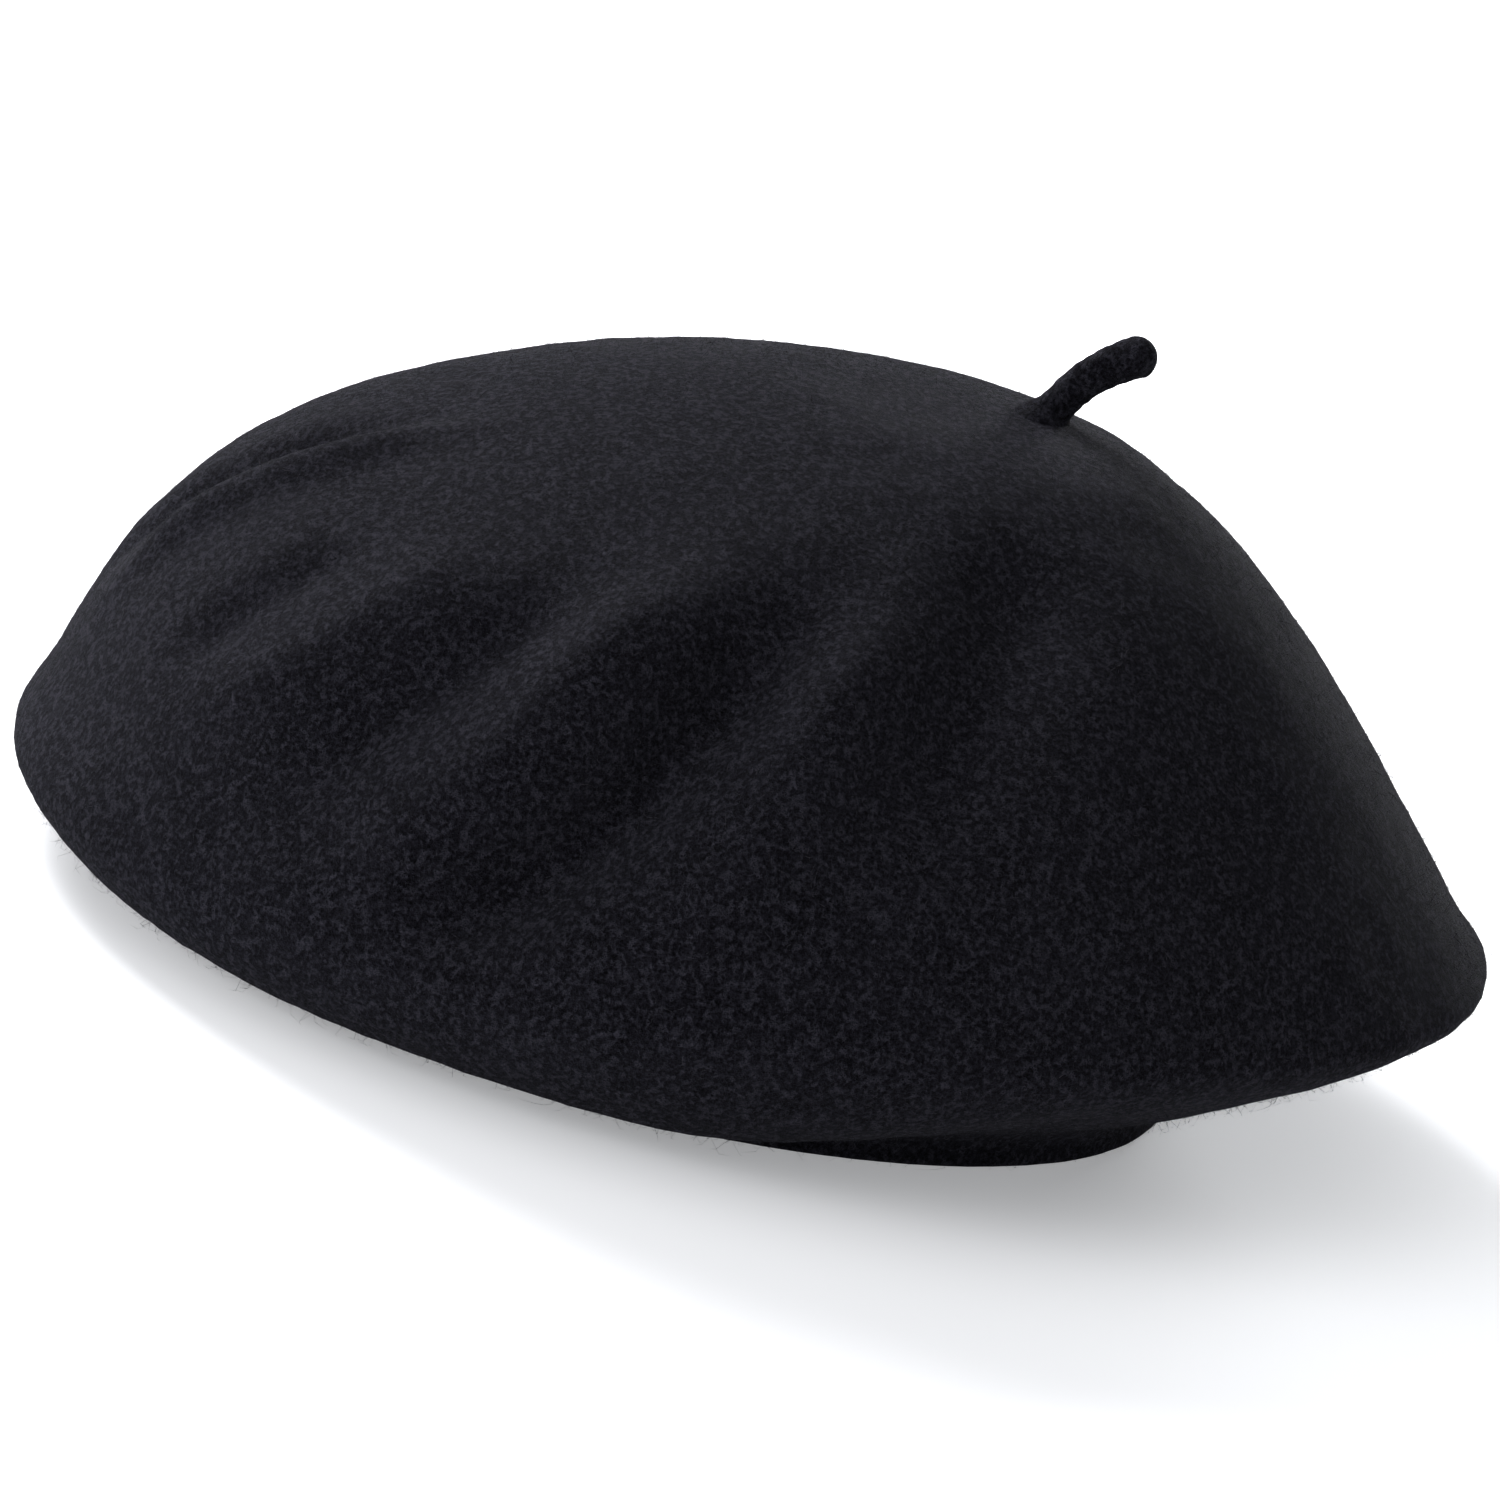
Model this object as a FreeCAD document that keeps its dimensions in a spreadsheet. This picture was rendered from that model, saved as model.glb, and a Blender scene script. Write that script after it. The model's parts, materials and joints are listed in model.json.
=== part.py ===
import FreeCAD, Part
import math
import os

import Sketcher

# A one-piece wool felt beret with a short felt stalk, a ribbon sweatband with a bow, and a satin lining.
# Millimetres. +Z is up, -Y is the forehead and +X is the wearer's left. The origin is the centre of the
# head opening, in the plane of the hem, so the beret stands on its hem at z = 0.
# It is pulled down over the forehead and slumps backwards, so each ring of the crown is an ellipse that
# is given by its frontmost point, its rearmost point and its half width.

Vector = FreeCAD.Vector
Placement = FreeCAD.Placement
Rotation = FreeCAD.Rotation

RINGS = {
    # name: front_y, front_z, back_y, back_z, centre_x, half_width
    "hem": (-102, 0, 102, 0, 0, 82),
    "hem_top": (-106, 5, 105, 7, 0, 84),
    "under_rim": (-112, 8, 125, 19, 0, 98),
    "rim": (-118, 15, 148, 35, 0, 108),
    "over_rim": (-114, 27, 142, 45, -2, 109),
    "low_crown": (-105, 51, 120, 69, -8, 98),
    "mid_crown": (-87, 72, 95, 91, -14, 80),
    "high_crown": (-51, 92, 77, 102, -18, 54),
    "top": (-8, 105, 61, 107, -21, 29),
}
RING_CELLS = ("front_y", "front_z", "back_y", "back_z", "centre_x", "half_width")

SIZES = {
    # felt wall, satin lining and the air between pieces that touch on the real hat
    "felt": 2.0,
    "gap": 0.3,
    "side_lining_inset": 2.3,
    "tip_lining_inset": 4.2,
    "satin": 0.35,
    "side_joint": 1.0,
    "lining_foot": 3.0,
    # sweatband
    "band_inset": 3.1,
    "band_thick": 0.9,
    "band_foot": 1.0,
    "band_tall": 28.0,
    # thread: its radius, and how far a stitch stands off the cloth below it
    "thread": 0.3,
    "thread_lift": 0.02,
    "stitch_length": 3.0,
    "stitch_pitch": 6.5,
    "hem_row_height": 3.5,
    # stalk and the felt disc that anchors it
    "stalk_x": -31.0,
    "stalk_y": 49.0,
    "stalk_radius": 3.1,
    "stalk_bend": 28.0,
    "stalk_rise": 70.0,
    "stalk_turn": 40.0,
    "stalk_hole": 3.6,
    "stalk_seat": 1.4,
    "root_radius": 7.5,
    "root_thick": 0.7,
    # bow
    "bow_height": 17.5,
    "bow_tall": 9.0,
    "bow_reach": 15.0,
    "bow_deep": 2.6,
    "bow_back": 95.7,
    "ribbon": 0.5,
    "knot_half": 3.0,
    "tail_width": 7.0,
    "tail_length": 8.0,
    "tail_splay": 24.0,
    "tail_start": 2.0,
    # labels
    "label_thick": 0.35,
    "label_stand": 0.8,
    "care_wide": 22.0,
    "care_tall": 20.0,
    "care_top": 25.0,
    "size_wide": 14.0,
    "size_tall": 9.0,
    "size_height": 14.0,
}

document = FreeCAD.newDocument("beret")


# Driving dimensions

sheet = document.addObject("Spreadsheet::Sheet", "dims")


def fill_sheet():
    """Writes every driving dimension to the sheet, one row each: its name in A, its value in B."""
    cells = dict(SIZES)
    for ring, values in RINGS.items():
        for cell, value in zip(RING_CELLS, values):
            cells[f"{ring}_{cell}"] = value
    for row, (name, value) in enumerate(cells.items(), start=1):
        sheet.set(f"A{row}", name)
        sheet.set(f"B{row}", str(value))
        sheet.setAlias(f"B{row}", name)
    document.recompute()


def size(name):
    """A driving dimension as a number."""
    return float(sheet.get(name))


def bind(thing, **expressions):
    """Binds properties of a document object to the sheet."""
    for name, expression in expressions.items():
        thing.setExpression(name, expression)


fill_sheet()

# Expressions that several sub-parts share: no turn, a quarter turn about +Z, the crown's flat top where
# the stalk stands, and that top's lean.
NO_TURN = "create(<<rotation>>; 0; 0; 0)"
QUARTER_TURN = "create(<<rotation>>; 90; 0; 0)"
TOP_SLOPE = "(dims.top_back_z - dims.top_front_z) / (dims.top_back_y - dims.top_front_y)"
TOP_Z = f"dims.top_front_z + (dims.stalk_y - dims.top_front_y) * {TOP_SLOPE}"
TOP_LEAN = f"create(<<rotation>>; 0; 0; atan({TOP_SLOPE}) / 1deg)"


# Shared builders

def ring_section(name, ring, trim="0"):
    """One ellipse of the crown, with its long axis from the front point to the back point, less a trim."""
    rise = f"({ring['back_z']} - {ring['front_z']})"
    reach = f"({ring['back_y']} - {ring['front_y']})"
    centre = (
        f"create(<<vector>>; {ring['centre_x']}; ({ring['front_y']} + {ring['back_y']}) / 2; "
        f"({ring['front_z']} + {ring['back_z']}) / 2)"
    )
    turn = f"create(<<rotation>>; 90; 0 - atan({rise} / {reach}) / 1deg; 0)"
    section = document.addObject("Part::Ellipse", name)
    bind(
        section,
        MajorRadius=f"sqrt({rise}^2 + {reach}^2) / 2 - ({trim})",
        MinorRadius=f"{ring['half_width']} - ({trim})",
        Placement=f"create(<<placement>>; {centre}; {turn})",
    )
    return section


def crown_ring(name):
    """A ring of the crown as expressions, one for each of its cells."""
    return {cell: f"dims.{name}_{cell}" for cell in RING_CELLS}


def inner_ring(name, inset):
    """A ring of the crown moved inwards, square to the line from the ring below it to the ring above it."""
    names = list(RINGS)
    place = names.index(name)
    below = crown_ring(names[max(place - 1, 0)])
    above = crown_ring(names[min(place + 1, len(names) - 1)])
    ring = crown_ring(name)
    for end, inwards in (("front", 1), ("back", -1)):
        run = f"({above[end + '_y']} - {below[end + '_y']})"
        rise = f"({above[end + '_z']} - {below[end + '_z']})"
        share = f"{inwards} * ({inset}) / sqrt({run}^2 + {rise}^2)"
        ring[f"{end}_y"] = f"({ring[end + '_y']} + {rise} * {share})"
        ring[f"{end}_z"] = f"({ring[end + '_z']} - {run} * {share})"
    spread = f"({above['half_width']} - {below['half_width']})"
    climb = f"(({above['front_z']} + {above['back_z']} - {below['front_z']} - {below['back_z']}) / 2)"
    ring["half_width"] = f"{ring['half_width']} - ({inset}) * {climb} / sqrt({spread}^2 + {climb}^2)"
    return ring


def loft(name, sections):
    """A solid through several rings, flat at its first and its last."""
    solid = document.addObject("Part::Loft", name)
    solid.Sections = sections
    solid.Solid = True
    return solid


def inset_form(form, name, inset):
    """The crown's form, smaller by an inset on every side."""
    smaller = document.addObject("Part::Offset", name)
    smaller.Source = form
    bind(smaller, Value=f"0 - ({inset})")
    return smaller


def cut(name, base, tool):
    """Base without tool."""
    result = document.addObject("Part::Cut", name)
    result.Base = base
    result.Tool = tool
    return result


def new_sketch(body, role, name):
    """A sketch on one of the body's own origin planes."""
    plane = next(feature for feature in body.Origin.OriginFeatures if feature.Role == role)
    sketch = body.newObject("Sketcher::SketchObject", name)
    sketch.AttachmentSupport = [(plane, "")]
    sketch.MapMode = "FlatFace"
    return sketch


def pad(body, sketch, name, length):
    """A pad whose length is bound to the sheet."""
    feature = body.newObject("PartDesign::Pad", name)
    feature.Profile = sketch
    bind(feature, Length=length)
    return feature


def constrain(sketch, kind, *arguments):
    """Adds a constraint and returns its number."""
    return sketch.addConstraint(Sketcher.Constraint(kind, *arguments))


def rule(sketch, kind, arguments, expression):
    """Adds a dimension and binds it to the sheet."""
    number = constrain(sketch, kind, *arguments)
    sketch.setExpression(f"Constraints[{number}]", expression)


def rectangle(sketch, wide, tall):
    """A rectangle centred on the sketch's origin, with its two sides bound to the sheet."""
    corners = [(-1, -1), (1, -1), (1, 1), (-1, 1)]
    for k in range(4):
        start = Vector(*corners[k], 0)
        end = Vector(*corners[(k + 1) % 4], 0)
        sketch.addGeometry(Part.LineSegment(start, end), False)
    for k in range(4):
        constrain(sketch, "Coincident", k, 2, (k + 1) % 4, 1)
    for k in (0, 2):
        constrain(sketch, "Horizontal", k)
    for k in (1, 3):
        constrain(sketch, "Vertical", k)
    constrain(sketch, "Symmetric", 0, 1, 1, 2, -1, 1)
    rule(sketch, "DistanceX", (0, 1, 0, 2, 2.0), wide)
    rule(sketch, "DistanceY", (1, 1, 1, 2, 2.0), tall)


def block(name, plane, wide, tall, deep, place):
    """A flat rectangular piece: a rectangle on one of its origin planes, padded and then placed."""
    body = document.addObject("PartDesign::Body", name)
    sketch = new_sketch(body, plane, f"{name}_outline")
    rectangle(sketch, wide, tall)
    pad(body, sketch, f"{name}_cloth", deep)
    bind(body, Placement=place)
    return body


def at(x, y, z, turn=NO_TURN):
    """An expression for a placement: its position, and its turn if it has one."""
    return f"create(<<placement>>; create(<<vector>>; {x}; {y}; {z}); {turn})"


def oval(name, half_x, half_y, foot, tall):
    """An upright elliptical cylinder on the hat's own axis."""
    outline = document.addObject("Part::Ellipse", f"{name}_outline")
    bind(outline, MajorRadius=half_y, MinorRadius=half_x, Placement=at(0, 0, foot, QUARTER_TURN))
    solid = document.addObject("Part::Extrusion", name)
    solid.Base = outline
    solid.DirMode = "Custom"
    solid.Dir = Vector(0, 0, 1)
    solid.Solid = True
    bind(solid, LengthFwd=tall)
    return solid


def box(name, wide, deep, tall, place):
    """A box with its three sides and its placement bound to the sheet."""
    solid = document.addObject("Part::Box", name)
    bind(solid, Length=wide, Width=deep, Height=tall, Placement=place)
    return solid


def group(name, solids):
    """Separate solids of one kind that share a node, each made with Part's own functions."""
    feature = document.addObject("Part::Feature", name)
    feature.Shape = Part.makeCompound(solids)
    return feature


def stitch(middle, along, length):
    """One straight stitch of thread."""
    direction = Vector(*along).normalize()
    start = Vector(*middle) - direction * (length / 2)
    return Part.makeCylinder(size("thread"), length, start, direction)


def stitch_ring(half_x, half_y, place):
    """Stitches at an even pitch around an ellipse, carried to its place."""
    count = round(math.pi * (half_x + half_y) / size("stitch_pitch"))
    stitches = []
    for k in range(count):
        angle = 2 * math.pi * (k + 0.5) / count
        middle = (half_x * math.cos(angle), half_y * math.sin(angle), 0)
        along = (-half_x * math.sin(angle), half_y * math.cos(angle), 0)
        one = stitch(middle, along, size("stitch_length"))
        one.Placement = place.multiply(one.Placement)
        stitches.append(one)
    return stitches


# Crown: one seamless felt shell, with a hole at its highest point for the stalk

crown_form = loft("crown_form", [ring_section(f"{name}_ring", crown_ring(name)) for name in RINGS])
document.recompute()

felt_closed = cut("felt_closed", crown_form, inset_form(crown_form, "felt_inside", "dims.felt"))
hem_opening = oval(
    "hem_opening",
    "dims.hem_half_width - dims.felt",
    "dims.hem_back_y - dims.felt",
    "0 - dims.felt",
    "2.5 * dims.felt",
)
felt_wall = cut("felt_wall", felt_closed, hem_opening)
stalk_hole = document.addObject("Part::Cylinder", "stalk_hole")
bind(
    stalk_hole,
    Radius="dims.stalk_hole",
    Height="6 * dims.felt",
    Placement=at("dims.stalk_x", "dims.stalk_y", f"{TOP_Z} - 3 * dims.felt", TOP_LEAN),
)
felt_body = cut("felt_body", felt_wall, stalk_hole)


# Stalk: a bent felt cord with a round foot in the hole and a round tip, about the hinge at its foot

def make_stalk():
    """A tube along one arc, from steep at its foot to nearly level at its tip."""
    body = document.addObject("PartDesign::Body", "stalk")
    path = new_sketch(body, "YZ_Plane", "stalk_path")
    bend = size("stalk_bend")
    start = 90 + size("stalk_rise")
    end = start - size("stalk_turn")
    centre = Vector(-bend * math.cos(math.radians(start)), -bend * math.sin(math.radians(start)), 0)
    circle = Part.Circle(centre, Vector(0, 0, 1), bend)
    path.addGeometry(Part.ArcOfCircle(circle, math.radians(end), math.radians(start)), False)
    constrain(path, "Coincident", 0, 2, -1, 1)
    foot_angle = "(90 + dims.stalk_rise) * 1deg"
    tip_angle = "(90 + dims.stalk_rise - dims.stalk_turn) * 1deg"
    rule(path, "DistanceX", (-1, 1, 0, 3, centre.x), f"0 - dims.stalk_bend * cos({foot_angle})")
    rule(path, "DistanceY", (0, 3, -1, 1, -centre.y), f"dims.stalk_bend * sin({foot_angle})")
    tip_drop = bend * math.cos(math.radians(end))
    rule(path, "DistanceX", (0, 1, 0, 3, -tip_drop), f"0 - dims.stalk_bend * cos({tip_angle})")
    section = new_sketch(body, "XY_Plane", "stalk_section")
    bind(section, AttachmentOffset=at(0, 0, 0, "create(<<rotation>>; 0; 0; dims.stalk_rise - 90)"))
    section.addGeometry(Part.Circle(Vector(0, 0, 0), Vector(0, 0, 1), size("stalk_radius")), False)
    constrain(section, "Coincident", 0, 3, -1, 1)
    rule(section, "Radius", (0, size("stalk_radius")), "dims.stalk_radius")
    document.recompute()
    tube = body.newObject("PartDesign::AdditivePipe", "stalk_tube")
    tube.Profile = section
    tube.Spine = (path, [])
    reach = f"dims.stalk_bend * (cos({tip_angle}) - cos({foot_angle}))"
    lift = f"dims.stalk_bend * (sin({tip_angle}) - sin({foot_angle}))"
    for name, place in (("stalk_foot", at(0, 0, 0)), ("stalk_tip", at(0, reach, lift))):
        ball = body.newObject("PartDesign::AdditiveSphere", name)
        bind(ball, Radius="dims.stalk_radius", Placement=place)
    bind(body, Placement=at("dims.stalk_x", "dims.stalk_y", f"{TOP_Z} + dims.stalk_seat"))
    return body


def make_root_pad():
    """A felt disc inside the crown, under the stalk's foot."""
    body = document.addObject("PartDesign::Body", "stalk_root_pad")
    sketch = new_sketch(body, "XY_Plane", "root_pad_outline")
    sketch.addGeometry(Part.Circle(Vector(0, 0, 0), Vector(0, 0, 1), size("root_radius")), False)
    constrain(sketch, "Coincident", 0, 3, -1, 1)
    rule(sketch, "Radius", (0, size("root_radius")), "dims.root_radius")
    pad(body, sketch, "root_pad_felt", "dims.root_thick")
    below = f"{TOP_Z} - dims.felt - dims.gap - dims.root_thick"
    bind(body, Placement=at("dims.stalk_x", "dims.stalk_y", below, TOP_LEAN))
    return body


def make_tack_stitches(count=8):
    """A ring of stitches under the root pad, at three quarters of its radius."""
    radius = 0.75 * size("root_radius")
    stitches = []
    for k in range(count):
        angle = 2 * math.pi * k / count
        middle = (radius * math.cos(angle), radius * math.sin(angle), -size("thread"))
        along = (-math.sin(angle), math.cos(angle), 0)
        one = stitch(middle, along, size("stitch_length"))
        one.Placement = stalk_root_pad.Placement.multiply(one.Placement)
        stitches.append(one)
    return group("stalk_tack_stitches", stitches)


stalk = make_stalk()
stalk_root_pad = make_root_pad()
document.recompute()
stalk_tack_stitches = make_tack_stitches()


# Lining: a satin side from the hem to the rim and a satin tip over the crown, seamed at the rim

RIM_RISE = "(dims.rim_back_z - dims.rim_front_z)"
RIM_REACH = "(dims.rim_back_y - dims.rim_front_y)"


def make_side():
    """A satin strip inside the felt from above the hem up to the rim, its ends apart by a gap at the back."""
    outside = inset_form(crown_form, "side_outside", "dims.side_lining_inset")
    inside = inset_form(crown_form, "side_inside", "dims.side_lining_inset + dims.satin")
    wide = "4 * dims.rim_half_width"
    half = "2 * dims.rim_half_width"
    lean = f"atan({RIM_RISE} / {RIM_REACH})"
    below = box("below_side", wide, wide, half, at(f"0 - {half}", f"0 - {half}", f"dims.lining_foot - {half}"))
    above = box(
        "above_side",
        wide,
        wide,
        half,
        at(
            f"0 - {half}",
            f"(dims.rim_front_y + dims.rim_back_y) / 2 - {half} * cos({lean})",
            f"(dims.rim_front_z + dims.rim_back_z) / 2 - {half} * sin({lean})",
            f"create(<<rotation>>; 0; 0; {lean} / 1deg)",
        ),
    )
    ends = box("side_ends", "dims.side_joint", wide, half, at("0 - dims.side_joint / 2", "0", "0"))
    closed = cut("side_closed", outside, inside)
    hemmed = cut("side_hemmed", closed, below)
    ring = cut("side_ring", hemmed, above)
    return cut("lining_side", ring, ends)


def tip_form(name, inset):
    """The crown above the rim, smaller by an inset: it stands on the plane of the rim."""
    names = list(RINGS)
    sections = [ring_section(f"{name}_rim", crown_ring("rim"), inset)]
    for ring in names[names.index("rim") + 1:]:
        sections.append(ring_section(f"{name}_{ring}", inner_ring(ring, inset)))
    return loft(name, sections)


def parted(form):
    """A form's lowest face and its other faces."""
    foot = min(form.Shape.Faces, key=lambda face: face.BoundBox.ZMax)
    return foot, [face for face in form.Shape.Faces if not face.isSame(foot)]


def make_tip():
    """The satin tip: the wall between two forms that stand on the plane of the rim, open underneath."""
    outside = tip_form("tip_outside", "dims.tip_lining_inset")
    inside = tip_form("tip_inside", "dims.tip_lining_inset + dims.satin")
    document.recompute()
    outer_foot, outer_faces = parted(outside)
    inner_foot, inner_faces = parted(inside)
    edge = Part.makeFace([outer_foot.OuterWire, inner_foot.OuterWire], "Part::FaceMakerBullseye")
    faces = [*outer_faces, *(face.reversed() for face in inner_faces), edge.reversed()]
    feature = document.addObject("Part::Feature", "lining_tip")
    feature.Shape = Part.Solid(Part.Shell(faces))
    return feature


def make_seam_stitches():
    """The seam at the rim: a ring of stitches on the satin's inner face."""
    inset = size("tip_lining_inset") + size("satin") + 3 * size("thread")
    rim = document.getObject("rim_ring")
    half_x = rim.MinorRadius.Value - inset
    half_y = rim.MajorRadius.Value - inset
    quarter = Placement(Vector(0, 0, 0), Rotation(Vector(0, 0, 1), -90))
    return group("lining_seam_stitches", stitch_ring(half_x, half_y, rim.Placement.multiply(quarter)))


lining_side = make_side()
lining_tip = make_tip()
lining_seam_stitches = make_seam_stitches()


# Sweatband: a ribbon standing inside the hem, its ends joined at the back

BAND_X = "dims.hem_half_width - dims.band_inset"
BAND_Y = "dims.hem_back_y - dims.band_inset"

band_outside = oval("band_outside", BAND_X, BAND_Y, "dims.band_foot", "dims.band_tall")
band_inside = oval(
    "band_inside",
    f"{BAND_X} - dims.band_thick",
    f"{BAND_Y} - dims.band_thick",
    "dims.band_foot - 1",
    "dims.band_tall + 2",
)
sweatband = cut("sweatband", band_outside, band_inside)


def band_face(axis):
    """Where the band's inner face crosses the X or the Y axis."""
    outside = {"x": size("hem_half_width"), "y": size("hem_back_y")}[axis]
    return outside - size("band_inset") - size("band_thick")


def make_hem_stitches():
    """One row of stitches low on the band's inner face, through band, satin and felt."""
    stand = size("thread") + size("thread_lift")
    row = Placement(Vector(0, 0, size("hem_row_height")), Rotation())
    return group(
        "sweatband_hem_stitches",
        stitch_ring(band_face("x") - stand, band_face("y") - stand, row),
    )


def make_joint_stitches(count=5):
    """An upright row at the back, where the ribbon's two ends overlap."""
    stitches = []
    for k in range(count):
        height = size("band_foot") + size("band_tall") * (k + 1.5) / (count + 1)
        middle = (0, band_face("y") - size("thread") - size("thread_lift"), height)
        stitches.append(stitch(middle, (0, 0, 1), size("stitch_length")))
    return group("band_joint_stitches", stitches)


sweatband_hem_stitches = make_hem_stitches()
band_joint_stitches = make_joint_stitches()


# Bow: two ribbon loops, a knot and two tails, over the band's joint

LOOP_LENGTH = "(dims.bow_reach - dims.knot_half - dims.gap)"


def make_loop(side, start):
    """One flattened loop of ribbon, open above and below."""
    front = "dims.bow_back - dims.bow_deep"
    low = "dims.bow_height - dims.bow_tall / 2"
    outer = box(f"{side}_loop_outside", LOOP_LENGTH, "dims.bow_deep", "dims.bow_tall", at(start, front, low))
    inner = box(
        f"{side}_loop_inside",
        f"{LOOP_LENGTH} - 2 * dims.ribbon",
        "dims.bow_deep - 2 * dims.ribbon",
        "dims.bow_tall + 2",
        at(f"{start} + dims.ribbon", f"{front} + dims.ribbon", f"{low} - 1"),
    )
    return cut(f"{side}_loop", outer, inner)


def make_tail(side, layer, turn):
    """One tail of ribbon that starts just under the knot and splays outwards to its side."""
    angle = f"({turn} * dims.tail_splay * 1deg)"
    half = "dims.tail_width / 2"
    top = f"dims.bow_height - dims.bow_tall / 2 - dims.gap - {half} * sin(dims.tail_splay * 1deg)"
    return box(
        f"{side}_tail",
        "dims.tail_width",
        "dims.ribbon",
        "dims.tail_length",
        at(
            f"0 - {turn} * dims.tail_start - {half} * cos({angle}) - dims.tail_length * sin({angle})",
            f"dims.bow_back - ({layer} + 1) * (dims.ribbon + dims.gap)",
            f"{top} + {half} * sin({angle}) - dims.tail_length * cos({angle})",
            f"create(<<rotation>>; 0; {turn} * dims.tail_splay; 0)",
        ),
    )


def gather(name, parts):
    """Two like pieces that share a node."""
    pair = document.addObject("Part::Compound", name)
    pair.Links = parts
    return pair


def make_bow_stitches():
    """Two stitches across the knot that hold the bow to the band."""
    knot_front = size("bow_back") - size("bow_deep") - 2 * size("ribbon")
    front = knot_front - size("thread") - size("thread_lift")
    heights = (size("bow_height") - 2, size("bow_height") + 2)
    return group("bow_stitches", [stitch((0, front, z), (1, 0, 0), 2.5) for z in heights])


loops = [make_loop("left", "dims.knot_half + dims.gap"), make_loop("right", "0 - dims.bow_reach")]
bow_loops = gather("bow_loops", loops)
bow_tails = gather("bow_tails", [make_tail("left", 0, -1), make_tail("right", 1, 1)])
bow_knot = block(
    "bow_knot",
    "XY_Plane",
    "2 * dims.knot_half",
    "dims.bow_deep + 2 * dims.ribbon",
    "dims.bow_tall",
    at(0, "dims.bow_back - dims.bow_deep / 2 - dims.ribbon", "dims.bow_height - dims.bow_tall / 2"),
)
bow_stitches = make_bow_stitches()


# Labels: a blank size label sewn to the band's left side, and a blank care label that hangs on its right

def make_size_stitches():
    """One stitch along each side of the size label."""
    label_face = band_face("x") - size("label_stand") - size("label_thick")
    inner = label_face - size("thread") - size("thread_lift")
    half_wide = size("size_wide") / 2 - 1
    half_tall = size("size_tall") / 2 - 1
    middle = size("size_height")
    rows = [
        ((inner, 0, middle - half_tall), (0, 1, 0), 2 * half_wide - 2),
        ((inner, 0, middle + half_tall), (0, 1, 0), 2 * half_wide - 2),
        ((inner, -half_wide, middle), (0, 0, 1), 2 * half_tall - 2),
        ((inner, half_wide, middle), (0, 0, 1), 2 * half_tall - 2),
    ]
    return group("size_label_stitches", [stitch(*row) for row in rows])


def make_care_stitches(count=5):
    """A bar of stitches just above the care label's top edge, where its fold is caught."""
    outer = size("label_stand") + size("label_thick") / 2 - band_face("x")
    height = size("care_top") + size("gap") + size("thread")
    pitch = size("care_wide") / count
    stitches = []
    for k in range(count):
        middle = (outer, pitch * (k + 0.5) - size("care_wide") / 2, height)
        stitches.append(stitch(middle, (0, 1, 0), size("stitch_length")))
    return group("care_label_stitches", stitches)


FACE_X = "(dims.hem_half_width - dims.band_inset - dims.band_thick - dims.label_stand)"
size_label = block(
    "size_label",
    "YZ_Plane",
    "dims.size_wide",
    "dims.size_tall",
    "dims.label_thick",
    at(f"{FACE_X} - dims.label_thick", 0, "dims.size_height"),
)
care_label = block(
    "care_label",
    "YZ_Plane",
    "dims.care_wide",
    "dims.care_tall",
    "dims.label_thick",
    at(f"0 - {FACE_X}", 0, "dims.care_top - dims.care_tall / 2"),
)
size_label_stitches = make_size_stitches()
care_label_stitches = make_care_stitches()

document.recompute()


# Check and write

NODES = [
    felt_body,
    stalk,
    stalk_root_pad,
    stalk_tack_stitches,
    lining_side,
    lining_tip,
    lining_seam_stitches,
    sweatband,
    sweatband_hem_stitches,
    band_joint_stitches,
    bow_loops,
    bow_tails,
    bow_knot,
    bow_stitches,
    size_label,
    size_label_stitches,
    care_label,
    care_label_stitches,
]


def check_document():
    """Stops if any object of the document failed, or a sub-part is empty, invalid or without a solid."""
    for thing in document.Objects:
        if "Invalid" in thing.State or "Error" in thing.State:
            raise RuntimeError(f"{thing.Label} failed: {thing.State}")
    for node in NODES:
        shape = node.Shape
        if shape.isNull() or not shape.isValid() or not shape.Solids:
            raise RuntimeError(f"{node.Label} has no valid solid")


def write_parts():
    """Writes each sub-part to its own STEP file and prints its size."""
    os.makedirs("parts", exist_ok=True)
    for node in NODES:
        node.Shape.exportStep(f"parts/{node.Label}.step")
        print(f"{node.Label}: {len(node.Shape.Solids)} solids, {node.Shape.Volume / 1000:.2f} cm3")


check_document()
write_parts()
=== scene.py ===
import json
import math

import bpy
import numpy as np
from mathutils import Matrix, Vector


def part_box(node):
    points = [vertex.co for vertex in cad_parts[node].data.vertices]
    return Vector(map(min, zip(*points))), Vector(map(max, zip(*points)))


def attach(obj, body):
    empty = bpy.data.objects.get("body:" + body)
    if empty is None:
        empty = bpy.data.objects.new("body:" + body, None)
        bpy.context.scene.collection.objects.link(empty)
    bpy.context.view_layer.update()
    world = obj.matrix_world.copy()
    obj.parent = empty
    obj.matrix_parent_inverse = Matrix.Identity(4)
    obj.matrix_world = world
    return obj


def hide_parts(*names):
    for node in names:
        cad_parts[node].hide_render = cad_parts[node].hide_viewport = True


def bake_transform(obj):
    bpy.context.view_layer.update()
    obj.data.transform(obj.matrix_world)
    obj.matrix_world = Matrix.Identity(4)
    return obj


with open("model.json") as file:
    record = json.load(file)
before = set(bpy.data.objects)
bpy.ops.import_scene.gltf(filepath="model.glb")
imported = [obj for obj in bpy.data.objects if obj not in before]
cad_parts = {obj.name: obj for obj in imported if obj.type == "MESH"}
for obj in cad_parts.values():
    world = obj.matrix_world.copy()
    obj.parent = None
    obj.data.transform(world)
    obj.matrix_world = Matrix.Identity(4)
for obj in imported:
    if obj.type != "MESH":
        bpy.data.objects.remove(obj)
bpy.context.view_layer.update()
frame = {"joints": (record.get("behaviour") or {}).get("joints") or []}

MM = 0.001

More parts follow.
